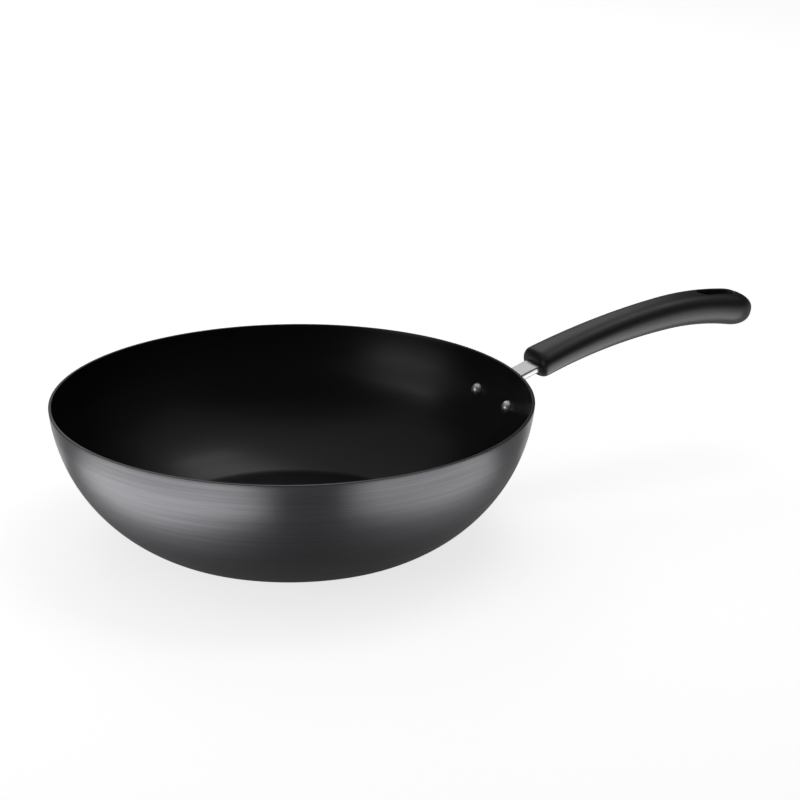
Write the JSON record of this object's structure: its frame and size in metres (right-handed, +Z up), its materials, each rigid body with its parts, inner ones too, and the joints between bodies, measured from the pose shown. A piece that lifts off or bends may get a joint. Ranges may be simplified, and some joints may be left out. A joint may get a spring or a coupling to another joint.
{
  "type": "titanium wok",
  "caption": "Deep flat-based titanium wok with a black-coated inside and one long phenolic handle riveted on through a stainless bracket.",
  "frame": {"origin": "middle of the flat base's underside", "axes": "+Z up out of the bowl, +X from the bowl's axis out along the handle"},
  "size_m": [0.5194, 0.32, 0.1178],
  "materials": {
    "titanium": "dark grey titanium, brushed round the bowl; the inside is coated semi-gloss black",
    "stainless": "bright stainless steel, brushed along the neck",
    "rivet_metal": "polished rivet heads",
    "phenolic": "black moulded phenolic with a satin skin"
  },
  "bodies": {
    "root": {"wok_body": "titanium", "handle_bracket": "stainless", "rivet_left": "rivet_metal", "rivet_right": "rivet_metal", "handle_grip": "phenolic", "handle_screw": "stainless", "lock_washer": "stainless"}
  },
  "joints": []
}
